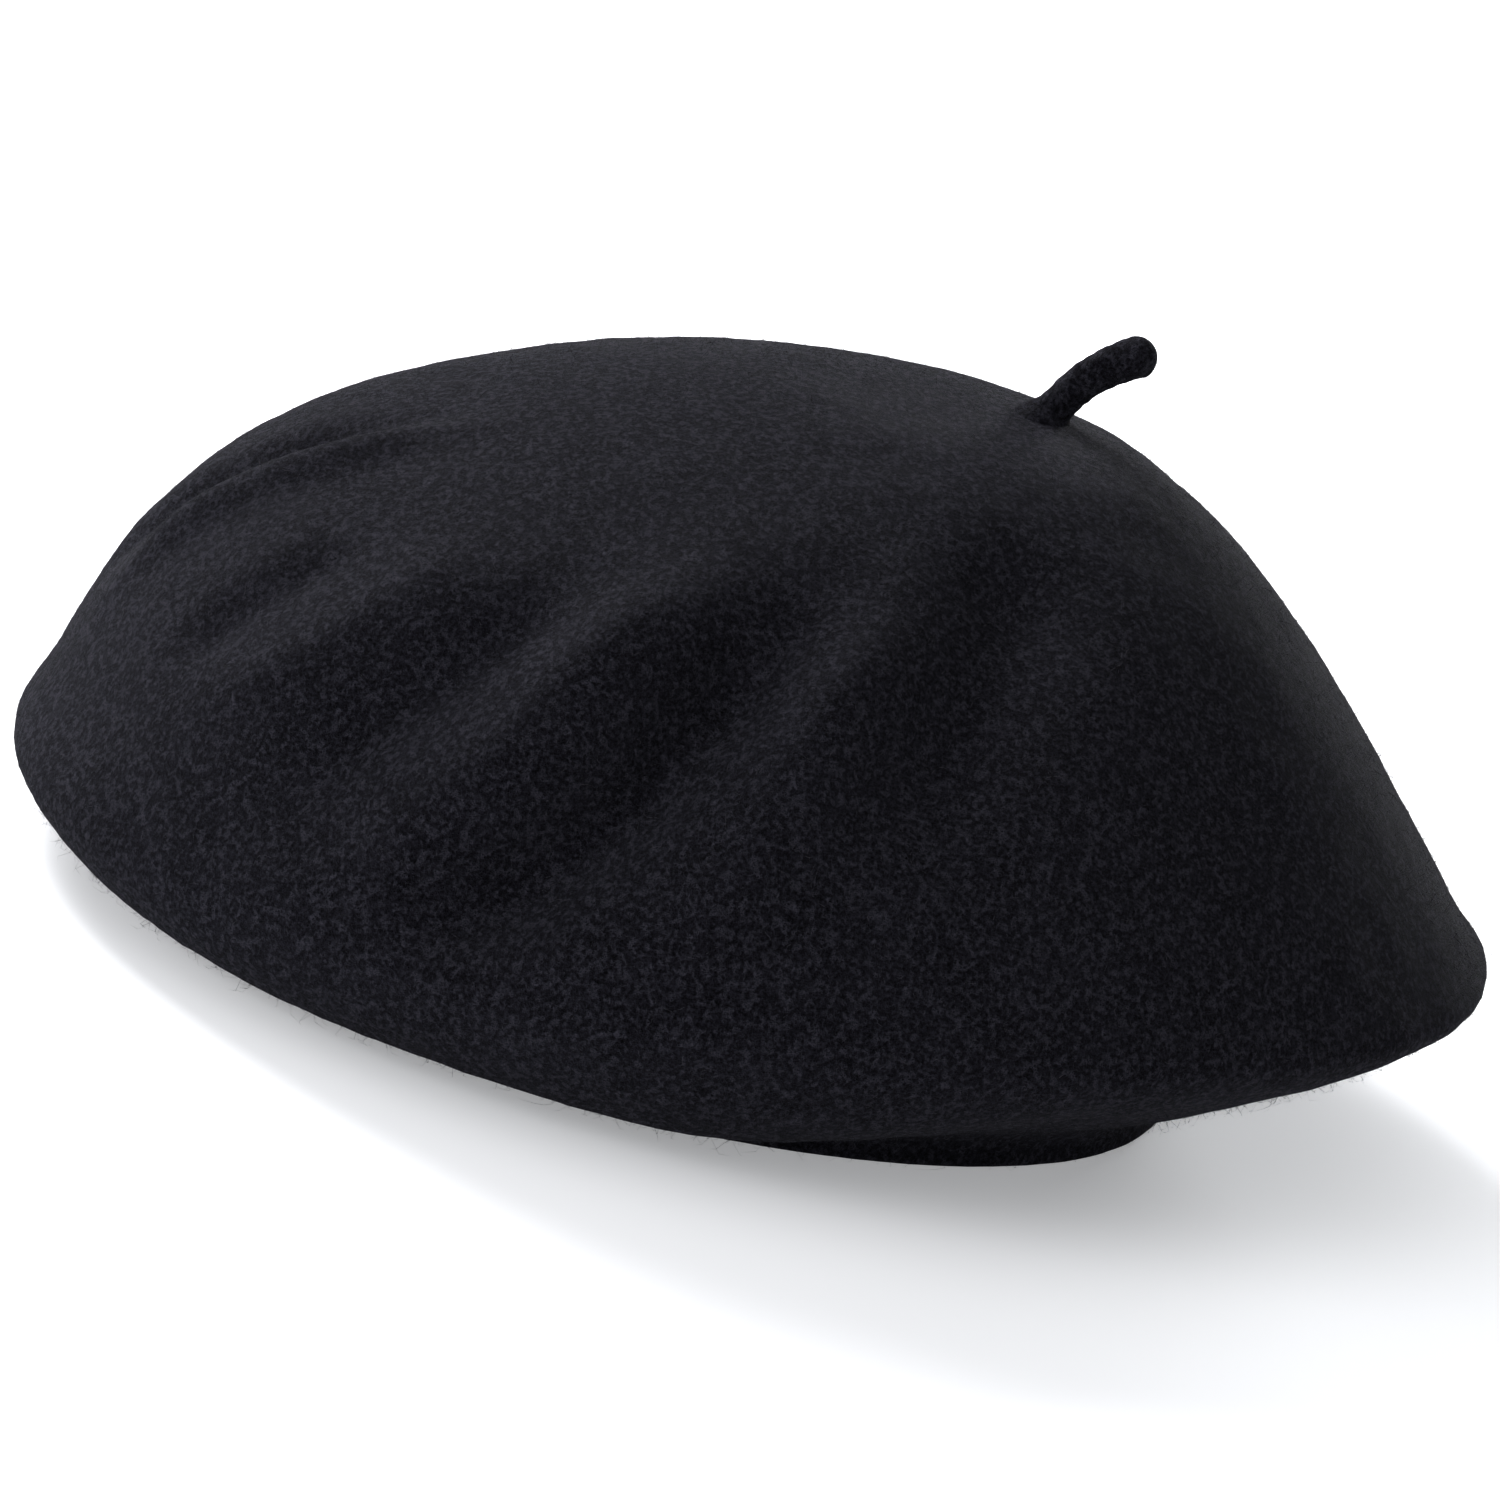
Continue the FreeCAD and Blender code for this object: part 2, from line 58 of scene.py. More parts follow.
# The crown's rings, in mm, from the hem up to the pole: frontmost y and z, rearmost y and z, centre x
# and half width.
RINGS = np.array([
    (-102, 0, 102, 0, 0, 82),
    (-106, 5, 105, 7, 0, 84),
    (-112, 8, 125, 19, 0, 98),
    (-118, 15, 148, 35, 0, 108),
    (-114, 27, 142, 45, -2, 109),
    (-105, 51, 120, 69, -8, 98),
    (-87, 72, 95, 91, -14, 80),
    (-51, 92, 77, 102, -18, 54),
    (-8, 105, 61, 107, -21, 29),
    (26, 107.5, 26, 107.5, -22, 0),
], dtype=float)
RIM, POLE = 3, 9

COLUMNS = 320
FELT = 2.0
SIDE_INSET = 2.45
TIP_INSET = 4.1
SATIN = 0.3
SEAM_STITCHES = 111
HEM_STITCHES = 85


# Shape of the crown

def spline(rows, v):
    """Catmull-Rom through rows (a list of equal arrays), at ring numbers v."""
    ends = [2 * rows[0] - rows[1], *rows, 2 * rows[-1] - rows[-2]]
    whole = np.minimum(np.floor(v).astype(int), len(rows) - 2)
    t = (v - whole)[:, None]
    p = np.array(ends)
    p0, p1, p2, p3 = (p[whole + k] for k in range(4))
    return 0.5 * (
        2 * p1 + (p2 - p0) * t + (2 * p0 - 5 * p1 + 4 * p2 - p3) * t**2
        + (3 * p1 - p0 - 3 * p2 + p3) * t**3
    )


def window(value, *corners):
    """Rises smoothly from 0 to 1 between the first two corners and falls back between the last two."""
    a, b, c, d = corners
    rise = np.clip((value - a) / (b - a), 0, 1)
    fall = np.clip((d - value) / (d - c), 0, 1)
    return rise * rise * (3 - 2 * rise) * fall * fall * (3 - 2 * fall)


def smooth_form(angle, v):
    """Points of the unfolded crown in mm, one for each pair of angle (degrees) and ring number."""
    front_y, front_z, back_y, back_z, centre_x, half_width = spline(list(RINGS), v).T
    turn = np.radians(angle)
    points = np.stack([
        centre_x + half_width * np.cos(turn),
        (front_y + back_y) / 2 + (back_y - front_y) / 2 * np.sin(turn),
        (front_z + back_z) / 2 + (back_z - front_z) / 2 * np.sin(turn),
    ], axis=-1)
    around = (angle + 180) % 360 - 180
    # The left front is pulled down towards the hem.
    pulled = window(around, -85, -30, 2, 38)
    points[:, 2] *= 1 - pulled * np.interp(v, (0, 1, 2, 3, 4, 5, 6), (0, 0.6, 0.6, 0.3, 0.12, 0.03, 0))
    # The hem stands out a little on the left, and the rim runs out to a soft point at the back.
    hem_flare = 3.0 * window(around, -70, -10, 50, 90) * np.interp(v, (0, 1, 2, 3), (1, 0.8, 0.2, 0))
    tail = 1.8 * window(around, 50, 82, 90, 116) * window(v, 1.6, 3.0, 3.3, 4.9)
    points[:, 0] += hem_flare * np.cos(turn)
    points[:, 1] += (hem_flare + tail) * np.sin(turn)
    return points


def lumps(points, wavelength, seed):
    """Smooth random relief from -1 to 1 or so: a sum of plane waves about one wavelength long."""
    waves = 24
    dice = np.random.RandomState(seed)
    total = np.zeros(points.shape[:-1])
    for _ in range(waves):
        direction = dice.normal(size=3)
        direction /= np.linalg.norm(direction)
        stretch = dice.uniform(0.7, 1.5)
        pace = 2 * math.pi / (wavelength * stretch)
        total += np.sin(points @ direction * pace + dice.uniform(0, 2 * math.pi))
    return total / math.sqrt(waves / 2) / 2


def along_fold(points, waypoints):
    """Distance in mm of each point from a fold's line, and how far along the line it is, from 0 to 1."""
    line = smooth_form(
        np.array([a for a, _ in waypoints], float), np.array([v for _, v in waypoints], float)
    )
    line = spline(list(line), np.linspace(0, len(line) - 1, 6 * len(line)))
    steps = np.linalg.norm(np.diff(line, axis=0), axis=1)
    start = np.concatenate([[0], np.cumsum(steps)])
    nearest = np.full(points.shape[:-1], 1e9)
    place = np.zeros(points.shape[:-1])
    for k, step in enumerate(steps):
        way = (line[k + 1] - line[k]) / step
        reach = np.clip((points - line[k]) @ way, 0, step)
        gap = np.linalg.norm(points - line[k] - reach[..., None] * way, axis=-1)
        closer = gap < nearest
        nearest = np.where(closer, gap, nearest)
        place = np.where(closer, start[k] + reach, place)
    return nearest, place / start[-1]


# Soft folds of the slumped felt: height in mm (a valley is negative), half width in mm, and the line that
# it follows as angle in degrees (0 is the wearer's left, 90 the back, -90 the front) and ring number.
FOLDS = (
    (-8.2, 8.4, ((9, 6.5), (5, 6.1), (0, 5.65), (-6, 5.1), (-13, 4.6), (-21, 4.1), (-27, 3.7))),
    (3.6, 9.0, ((-6, 6.7), (-12, 5.8), (-19, 5.0), (-28, 4.3), (-34, 3.9))),
    (-3.8, 6.8, ((-19, 6.2), (-25, 5.6), (-32, 5.0), (-39, 4.4))),
    (2.0, 7.0, ((-33, 6.3), (-40, 5.4), (-51, 4.6))),
    (-2.0, 5.5, ((-45, 6.0), (-53, 5.3), (-58, 4.7))),
    (2.8, 4.8, ((-62, 6.9), (-70, 6.0), (-75, 5.3), (-77, 4.7))),
    (-3.6, 4.6, ((-72, 6.7), (-81, 5.9), (-85, 5.1), (-86, 4.6))),
    (-5.4, 11.5, ((36, 7.3), (33, 6.6), (27, 5.8), (20, 5.3), (14, 4.8))),
    (2.8, 9.5, ((15, 6.5), (10, 5.5), (1, 4.6), (-6, 4.1))),
    (-0.7, 14.0, ((62, 6.2), (57, 5.4), (48, 4.7))),
    (-3.4, 9.0, ((118, 6.4), (124, 5.5), (133, 4.7), (139, 4.2))),
    (2.2, 9.0, ((131, 6.3), (139, 5.3), (148, 4.5))),
    (-4.0, 9.0, ((166, 6.8), (163, 5.8), (171, 5.0), (180, 4.3))),
    (2.4, 9.0, ((182, 6.6), (187, 5.6), (195, 4.7))),
    (-3.6, 8.5, ((205, 6.7), (209, 5.8), (217, 5.0), (224, 4.3))),
    (-2.8, 7.0, ((238, 6.4), (243, 5.6), (250, 4.8))),
)


def fold_height(points):
    """Height of all the folds at points of the smooth form, in mm."""
    total = np.zeros(points.shape[:-1])
    for height, width, waypoints in FOLDS:
        gap, place = along_fold(points, waypoints)
        fade = np.clip(np.minimum(place, 1 - place) / 0.3, 0, 1)
        fade = fade * fade * (3 - 2 * fade)
        total += height * (0.15 + 0.85 * fade) * np.exp(-((gap / width) ** 2))
    return total


def grid_normals(grid):
    """Outward unit normals of a grid of rows by wrapped columns."""
    around = np.roll(grid, -1, axis=1) - np.roll(grid, 1, axis=1)
    up = np.gradient(grid, axis=0)
    normal = np.cross(around, up)
    normal[-1] = (0, 0, 1)
    return normal / np.maximum(np.linalg.norm(normal, axis=-1, keepdims=True), 1e-9)


def crown_rows():
    """Ring numbers of the grid's rows, closer together round the hem and the rim."""
    counts = (5, 9, 12, 10, 15, 17, 19, 17, 12)
    parts = [np.linspace(k, k + 1, n, endpoint=False) for k, n in enumerate(counts)]
    return np.concatenate([*parts, [POLE]])


def folded_crown():
    """The outer face of the felt: its grid of points in mm, their normals and the rows' ring numbers."""
    v = crown_rows()
    angle = np.linspace(-180, 180, COLUMNS, endpoint=False)
    vv, aa = np.meshgrid(v, angle, indexing="ij")
    smooth = smooth_form(aa.ravel(), vv.ravel()).reshape(len(v), COLUMNS, 3)
    height = fold_height(smooth)
    soft = np.clip((vv - 0.6) / 1.6, 0, 1)
    crown = np.clip((8.3 - vv) / 1.5, 0, 1)
    height = height * soft * crown
    # Slack felt: long swells, then small dents, then a fine unevenness.
    height += soft * crown * 0.4 * lumps(smooth, 52.0, 3)
    height += soft * 0.13 * lumps(smooth, 13.0, 5)
    height += 0.07 * lumps(smooth, 4.0, 8)
    grid = smooth + grid_normals(smooth) * height[..., None]
    grid[-1] = grid[-1].mean(axis=0)
    grid[0, :, 2] = 0
    return grid, grid_normals(grid), v


OUTER, NORMALS, ROWS = folded_crown()


def inset(depth):
    """The crown's grid, moved inwards by depth, a number or one for each point."""
    depth = np.broadcast_to(depth, OUTER.shape[:2])
    return OUTER - NORMALS * depth[..., None]


# Mesh builders

def new_piece(name, points, faces, material, body="hat", slot=None, replaces=()):
    """A mesh piece from points in mm, riding on a body."""
    mesh = bpy.data.meshes.new(name)
    mesh.from_pydata((np.asarray(points) * MM).tolist(), [], faces)
    mesh.validate()
    mesh.materials.append(material)
    mesh.polygons.foreach_set("use_smooth", [True] * len(mesh.polygons))
    mesh.update()
    piece = bpy.data.objects.new(name, mesh)
    bpy.context.scene.collection.objects.link(piece)
    if body:
        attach(piece, body)
    if replaces:
        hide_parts(*replaces)
    return piece


def strip_faces(rows, columns, start=0, wrap=True, flip=False):
    """Quads of a grid of points, rows by columns, numbered from start."""
    faces = []
    for i in range(rows - 1):
        for j in range(columns if wrap else columns - 1):
            k = (j + 1) % columns
            a, b = start + i * columns + j, start + i * columns + k
            quad = (a, b, b + columns, a + columns)
            faces.append(quad[::-1] if flip else quad)
    return faces


def shell(outer, inner, closed_top):
    """Points and faces of a wall between two grids, with an edge at the first row and at the last row."""
    rows, columns = outer.shape[:2]
    if closed_top:
        rows -= 1
    points = np.concatenate([outer[:rows].reshape(-1, 3), inner[:rows].reshape(-1, 3)])
    half = rows * columns
    faces = strip_faces(rows, columns) + strip_faces(rows, columns, half, flip=True)
    last = (rows - 1) * columns
    for j in range(columns):
        k = (j + 1) % columns
        faces.append((j, half + j, half + k, k))
        if not closed_top:
            faces.append((last + k, half + last + k, half + last + j, last + j))
    if closed_top:
        points = np.concatenate([points, outer[-1:, 0], inner[-1:, 0]])
        peak = 2 * half
        for j in range(columns):
            k = (j + 1) % columns
            faces.append((last + j, last + k, peak))
            faces.append((half + last + k, half + last + j, peak + 1))
    return points, faces


def frames_along(path):
    """Unit tangents and two unit side directions at each point of a path."""
    tangent = np.gradient(path, axis=0)
    tangent /= np.linalg.norm(tangent, axis=1, keepdims=True)
    guide = np.array([0.0, 0.0, 1.0]) if abs(tangent[0, 2]) < 0.8 else np.array([1.0, 0.0, 0.0])
    sides = []
    for way in tangent:
        guide = guide - way * (guide @ way)
        guide = guide / np.linalg.norm(guide)
        sides.append(guide)
    sides = np.array(sides)
    return tangent, sides, np.cross(tangent, sides)


def tube(path, radius, around=12, lobes=0, twist=0.0, depth=0.0):
    """Points and faces of a closed tube. Lobes twisted along it make it look like plied thread."""
    path = np.asarray(path, float)
    radius = np.broadcast_to(radius, len(path))
    _, side, other = frames_along(path)
    turn = np.linspace(0, 2 * math.pi, around, endpoint=False)
    rings = []
    for k in range(len(path)):
        swell = np.ones(around)
        if lobes:
            swell = 1 - depth + depth * np.abs(np.cos(lobes / 2 * (turn - twist * k)))
        ring = path[k] + radius[k] * swell[:, None] * (
            np.cos(turn)[:, None] * side[k] + np.sin(turn)[:, None] * other[k]
        )
        rings.append(ring)
    points = np.concatenate(rings)
    faces = strip_faces(len(path), around)
    faces.append(tuple(range(around))[::-1])
    faces.append(tuple(len(points) - around + j for j in range(around)))
    return points, faces


def ribbon(centre, across, wide, thick, columns=7):
    """A strip of ribbon of rounded section: centre line, unit direction of its width at each point."""
    centre, across = np.asarray(centre, float), np.asarray(across, float)
    wide = np.broadcast_to(wide, len(centre))
    tangent = np.gradient(centre, axis=0)
    tangent /= np.linalg.norm(tangent, axis=1, keepdims=True)
    face = np.cross(across, tangent)
    face /= np.linalg.norm(face, axis=1, keepdims=True)
    spread = np.linspace(-1, 1, columns)
    bulge = np.where(np.abs(spread) > 0.99, 0.55, 1.0)
    rings = []
    for k in range(len(centre)):
        middle = centre[k] + across[k] * wide[k] / 2 * spread[:, None]
        top = middle + face[k] * thick / 2 * bulge[:, None]
        low = middle - face[k] * thick / 2 * bulge[:, None]
        rings.append(np.concatenate([top, low[::-1]]))
    around = 2 * columns
    points = np.concatenate(rings)
    faces = strip_faces(len(centre), around)
    faces.append(tuple(range(around))[::-1])
    faces.append(tuple(len(points) - around + j for j in range(around)))
    return points, faces


def joined(parts):
    """Several (points, faces) as one."""
    points, faces, start = [], [], 0
    for part_points, part_faces in parts:
        points.append(part_points)
        faces += [tuple(start + i for i in face) for face in part_faces]
        start += len(part_points)
    return np.concatenate(points), faces


def stitch(middle, along, inwards, length, radius=0.3):
    """One plied stitch that rises out of the cloth, lies on it and dips back in."""
    middle, along, inwards = (np.asarray(x, float) for x in (middle, along, inwards))
    t = np.linspace(-1, 1, 11)
    height = 0.35 * radius * np.cos(t * math.pi / 2) - 1.5 * radius * np.clip(np.abs(t) - 0.8, 0, 1) / 0.2
    path = middle + along * (t * length / 2)[:, None] + inwards * height[:, None]
    size = radius * (1 - 0.35 * np.abs(t) ** 4)
    return tube(path, size, around=10, lobes=2, twist=0.55, depth=0.28)


# Materials

class Look:
    """A material under construction: makes nodes and links them."""

    def __init__(self, name):
        self.material = bpy.data.materials.new(name)
        self.material.use_nodes = True
        self.nodes = self.material.node_tree.nodes
        self.links = self.material.node_tree.links
        self.nodes.clear()
        self.output = self.nodes.new("ShaderNodeOutputMaterial")
        self.shader = self.nodes.new("ShaderNodeBsdfPrincipled")
        self.links.new(self.shader.outputs[0], self.output.inputs["Surface"])
        self.place = self.nodes.new("ShaderNodeTexCoord").outputs["Object"]

    def set(self, **values):
        for name, value in values.items():
            self.shader.inputs[name.replace("_", " ")].default_value = value

    def scaled(self, scale, turn=(0, 0, 0)):
        node = self.nodes.new("ShaderNodeMapping")
        node.inputs["Scale"].default_value = scale
        node.inputs["Rotation"].default_value = turn
        self.links.new(self.place, node.inputs["Vector"])
        return node.outputs[0]

    def noise(self, scale, detail=2.0, roughness=0.5, distortion=0.0, place=None):
        node = self.nodes.new("ShaderNodeTexNoise")
        node.inputs["Scale"].default_value = scale
        node.inputs["Detail"].default_value = detail
        node.inputs["Roughness"].default_value = roughness
        node.inputs["Distortion"].default_value = distortion
        self.links.new(place or self.place, node.inputs["Vector"])
        return node.outputs["Fac"]

    def wave(self, scale, place, distortion=0.0, direction="X"):
        node = self.nodes.new("ShaderNodeTexWave")
        node.bands_direction = direction
        node.wave_profile = "SIN"
        node.inputs["Scale"].default_value = scale
        node.inputs["Distortion"].default_value = distortion
        self.links.new(place, node.inputs["Vector"])
        return node.outputs["Fac"]

    def math(self, operation, a, b=None):
        node = self.nodes.new("ShaderNodeMath")
        node.operation = operation
        for socket, value in zip(node.inputs, (a, b)):
            if value is None:
                continue
            if isinstance(value, (int, float)):
                socket.default_value = value
            else:
                self.links.new(value, socket)
        return node.outputs[0]

    def span(self, value, low, high, to_low=0.0, to_high=1.0):
        node = self.nodes.new("ShaderNodeMapRange")
        node.interpolation_type = "SMOOTHSTEP"
        self.links.new(value, node.inputs["Value"])
        for name, number in (("From Min", low), ("From Max", high), ("To Min", to_low), ("To Max", to_high)):
            node.inputs[name].default_value = number
        return node.outputs[0]

    def blend(self, factor, a, b):
        node = self.nodes.new("ShaderNodeMix")
        node.data_type = "RGBA"
        self.links.new(factor, node.inputs["Factor"])
        for socket, value in ((node.inputs[6], a), (node.inputs[7], b)):
            if isinstance(value, tuple):
                socket.default_value = (*value, 1)
            else:
                self.links.new(value, socket)
        return node.outputs[2]

    def bump(self, height, strength, distance):
        node = self.nodes.new("ShaderNodeBump")
        node.inputs["Strength"].default_value = strength
        node.inputs["Distance"].default_value = distance * MM
        self.links.new(height, node.inputs["Height"])
        self.links.new(node.outputs[0], self.shader.inputs["Normal"])

    def colour(self, socket):
        self.links.new(socket, self.shader.inputs["Base Color"])

    def rough(self, socket):
        self.links.new(socket, self.shader.inputs["Roughness"])

    def fibres(self, scale, seed, width=0.035):
        """Thin curved lines, 1 on a fibre and 0 between: where a noise crosses its middle value."""
        turned = self.scaled((1, 1, 1), (seed * 1.7, seed * 0.9, seed * 2.3))
        value = self.noise(scale, detail=1.0, distortion=0.6, place=turned)
        off = self.math("ABSOLUTE", self.math("SUBTRACT", value, 0.5))
        return self.span(off, 0.0, width, 1.0, 0.0)


def felt_look():
    """Brushed charcoal wool felt: mottled, with fine crossing fibres and a soft nap."""
    look = Look("brushed_felt")
    blotch = look.noise(95, detail=2, roughness=0.55)
    grain = look.noise(1400, detail=3, roughness=0.7)
    speck = look.noise(3000, detail=2, roughness=0.7)
    lines = look.math("MAXIMUM", look.fibres(1600, 1, 0.05), look.fibres(1300, 2, 0.045))
    more = look.math("MAXIMUM", look.fibres(2000, 3, 0.05), look.fibres(1000, 4, 0.03))
    lines = look.math("MAXIMUM", lines, more)
    tone = look.span(blotch, 0.3, 0.7, 0.0, 0.12)
    tone = look.math("ADD", tone, look.span(grain, 0.40, 0.61, 0.0, 0.50))
    tone = look.math("ADD", tone, look.span(speck, 0.40, 0.61, 0.0, 0.38))
    body = look.blend(tone, (0.0002, 0.0002, 0.0003), (0.0190, 0.0184, 0.0250))
    stray = look.math("MULTIPLY", lines, look.span(look.noise(700, detail=1), 0.44, 0.66, 0.04, 1.0))
    look.colour(look.blend(stray, body, (0.0400, 0.0390, 0.0510)))
    height = look.math("ADD", look.math("MULTIPLY", grain, 0.9), look.math("MULTIPLY", speck, 0.5))
    height = look.math("ADD", height, look.math("MULTIPLY", lines, 0.35))
    look.bump(height, 0.9, 0.8)
    look.rough(look.span(grain, 0.2, 0.8, 0.85, 1.0))
    look.set(Specular_IOR_Level=0.02, Sheen_Weight=0.026, Sheen_Roughness=0.15)
    look.set(Sheen_Tint=(0.84, 0.86, 1.0, 1))
    return look.material


def nap_look():
    """Loose wool fibres, from charcoal to grey."""
    look = Look("wool_fibres")
    shade = look.noise(1500, detail=1)
    tone = look.span(shade, 0.42, 0.68)
    look.colour(look.blend(tone, (0.0015, 0.0015, 0.0018), (0.060, 0.058, 0.070)))
    look.rough(look.span(shade, 0.3, 0.7, 0.7, 0.95))
    look.set(Specular_IOR_Level=0.08)
    return look.material


def satin_look():
    """Black satin: close warp threads that shine along them, with soft creases whose hollows are painted
    darker and whose ridges are painted lighter.
    """
    look = Look("satin_weave")
    warp = look.wave(900, look.scaled((1, 1, 1), (0.2, 0.1, 0.5)), distortion=0.6)
    weft = look.wave(700, look.scaled((1, 1, 1), (0.1, 0.3, 0.5)), distortion=0.5, direction="Y")
    crease = look.noise(60, detail=3, roughness=0.5, distortion=0.8)
    weave = look.math("ADD", look.math("MULTIPLY", warp, 0.5), look.math("MULTIPLY", weft, 0.2))
    # Colour from the weave's threads and from the creases: painted shade in the crease hollows, painted
    # highlight on the crease ridges.
    shade = look.span(look.math("ADD", weave, crease), 0.4, 1.3)
    look.colour(look.blend(shade, (0.010, 0.010, 0.012), (0.028, 0.028, 0.033)))
    look.rough(look.span(crease, 0.3, 0.7, 0.28, 0.42))
    look.bump(look.math("ADD", look.math("MULTIPLY", weave, 0.12), crease), 0.5, 0.5)
    look.set(Specular_IOR_Level=0.55, Sheen_Weight=0.12, Sheen_Roughness=0.3, Anisotropic=0.4)
    return look.material


def ribbon_look(name, fine):
    """Grosgrain ribbon: fine threads along it, between its woven ribs."""
    look = Look(name)
    threads = look.noise(fine, detail=2, place=look.scaled((0.35, 0.35, 3.5)))
    cloud = look.noise(140, detail=2)
    tone = look.math("ADD", look.math("MULTIPLY", threads, 0.7), look.math("MULTIPLY", cloud, 0.4))
    look.colour(look.blend(look.span(tone, 0.3, 0.8), (0.009, 0.009, 0.011), (0.030, 0.030, 0.035)))
    look.rough(look.span(threads, 0.3, 0.7, 0.48, 0.66))
    look.bump(threads, 0.5, 0.12)
    look.set(Specular_IOR_Level=0.4, Sheen_Weight=0.15, Sheen_Roughness=0.4)
    return look.material


def thread_look():
    """Polyester sewing thread: fine filaments with a slight shine."""
    look = Look("sewing_thread")
    filament = look.noise(4200, detail=2, distortion=1.0)
    look.colour(look.blend(look.span(filament, 0.3, 0.7), (0.016, 0.016, 0.019), (0.055, 0.055, 0.062)))
    look.rough(look.span(filament, 0.3, 0.7, 0.42, 0.6))
    look.bump(filament, 0.4, 0.05)
    look.set(Specular_IOR_Level=0.5, Sheen_Weight=0.1)
    return look.material


def label_look():
    """Blank off-white woven tape."""
    look = Look("woven_label")
    up = look.wave(1500, look.place, direction="Z", distortion=0.3)
    across = look.wave(1100, look.place, direction="Y", distortion=0.3)
    weave = look.math("MULTIPLY", up, across)
    soil = look.noise(220, detail=3)
    tone = look.math("ADD", look.math("MULTIPLY", weave, 0.5), look.math("MULTIPLY", soil, 0.5))
    look.colour(look.blend(look.span(tone, 0.1, 0.8), (0.50, 0.49, 0.46), (0.68, 0.67, 0.64)))
    look.rough(look.span(weave, 0.0, 1.0, 0.6, 0.8))
    look.bump(weave, 0.5, 0.1)
    look.set(Specular_IOR_Level=0.35, Sheen_Weight=0.1)
    return look.material


FELT_LOOK = felt_look()
NAP_LOOK = nap_look()
SATIN_LOOK = satin_look()
BAND_LOOK = ribbon_look("band_grosgrain", 1500)
BOW_LOOK = ribbon_look("bow_grosgrain", 2100)
THREAD_LOOK = thread_look()
LABEL_LOOK = label_look()


# Felt body

def make_felt():
    """The whole felt: outer face, rounded hem edge and inner face."""
    edge = np.array([0.15, 0.5, 1.0, 1.5, 1.85]) / FELT
    hem_out, hem_in = OUTER[0], OUTER[0] - NORMALS[0] * (1, 1, 0) * FELT
    inner = inset(FELT)
    inner[0] = hem_in
    outer = OUTER.copy()
    outer[0, :, 2] = 0.45
    inner[0, :, 2] = 0.45
    rounded = []
    for share in edge:
        row = hem_out + (hem_in - hem_out) * share
        row[:, 2] = 0.45 - 0.45 * math.sin(math.pi * share)
        rounded.append(row)
    grid = np.concatenate([inner[::-1][1:], rounded[::-1], outer[:-1]])
    rows = len(grid)
    points = np.concatenate([grid.reshape(-1, 3), inner[-1:, 0], outer[-1:, 0]])
    faces = strip_faces(rows, COLUMNS)
    first, last = len(points) - 2, (rows - 1) * COLUMNS
    for j in range(COLUMNS):
        k = (j + 1) % COLUMNS
        faces.append((k, j, first))
        faces.append((last + j, last + k, first + 1))
    return new_piece("felt_shell", points, faces, FELT_LOOK, slot="wool_felt", replaces=("felt_body",))


felt = make_felt()


# Stalk

STALK_X, STALK_Y, STALK_BEND, STALK_RISE, STALK_TURN = -31.0, 49.0, 28.0, 70.0, 40.0
ROOT_Z = next(joint for joint in frame["joints"] if joint["name"] == "stalk_lean")["pos_m"][2] / MM


def stalk_axis(share):
    """Points of the stalk's centre line: share 0 at its root, 1 at its tip; below 0 it goes straight down."""
    share = np.asarray(share, float)
    turn = np.radians(90 + STALK_RISE - STALK_TURN * np.clip(share, 0, 1))
    foot = math.radians(90 + STALK_RISE)
    y = STALK_Y + STALK_BEND * (np.cos(turn) - math.cos(foot))
    z = ROOT_Z + STALK_BEND * (np.sin(turn) - math.sin(foot))
    below = np.clip(-share, 0, None) * 20
    return np.stack([np.full(share.shape, STALK_X), y - 0.35 * below, z - below], axis=-1)


def make_stalk():
    """The felt cord: flared where it is sewn to the crown, a little thicker at its round tip."""
    share = np.concatenate([np.linspace(-0.16, 0.0, 7), np.linspace(0.03, 1.0, 36)])
    path = stalk_axis(share)
    radius = 3.35 + 0.45 * np.clip((share - 0.4) / 0.5, 0, 1)
    radius = radius + 2.6 * np.exp(-((share + 0.12) / 0.14) ** 2)
    tip_turn = np.linspace(0.12, 0.995, 9) * math.pi / 2
    way = path[-1] - path[-2]
    way /= np.linalg.norm(way)
    cap = path[-1] + np.outer(np.sin(tip_turn) * radius[-1], way)
    path = np.concatenate([path, cap])
    radius = np.concatenate([radius, radius[-1] * np.cos(tip_turn)])
    points, faces = tube(path, radius, around=36)
    centre = np.repeat(path, 36, axis=0)
    out = points - centre
    out /= np.maximum(np.linalg.norm(out, axis=1, keepdims=True), 1e-6)
    points = points + out * (0.16 * lumps(points, 3.5, 21) + 0.10 * lumps(points, 1.6, 22))[:, None]
    return new_piece("stalk_felt", points, faces, FELT_LOOK, body=None, slot="wool_felt", replaces=("stalk",))


stalk = make_stalk()


# Nap: loose fibres that stand off the felt

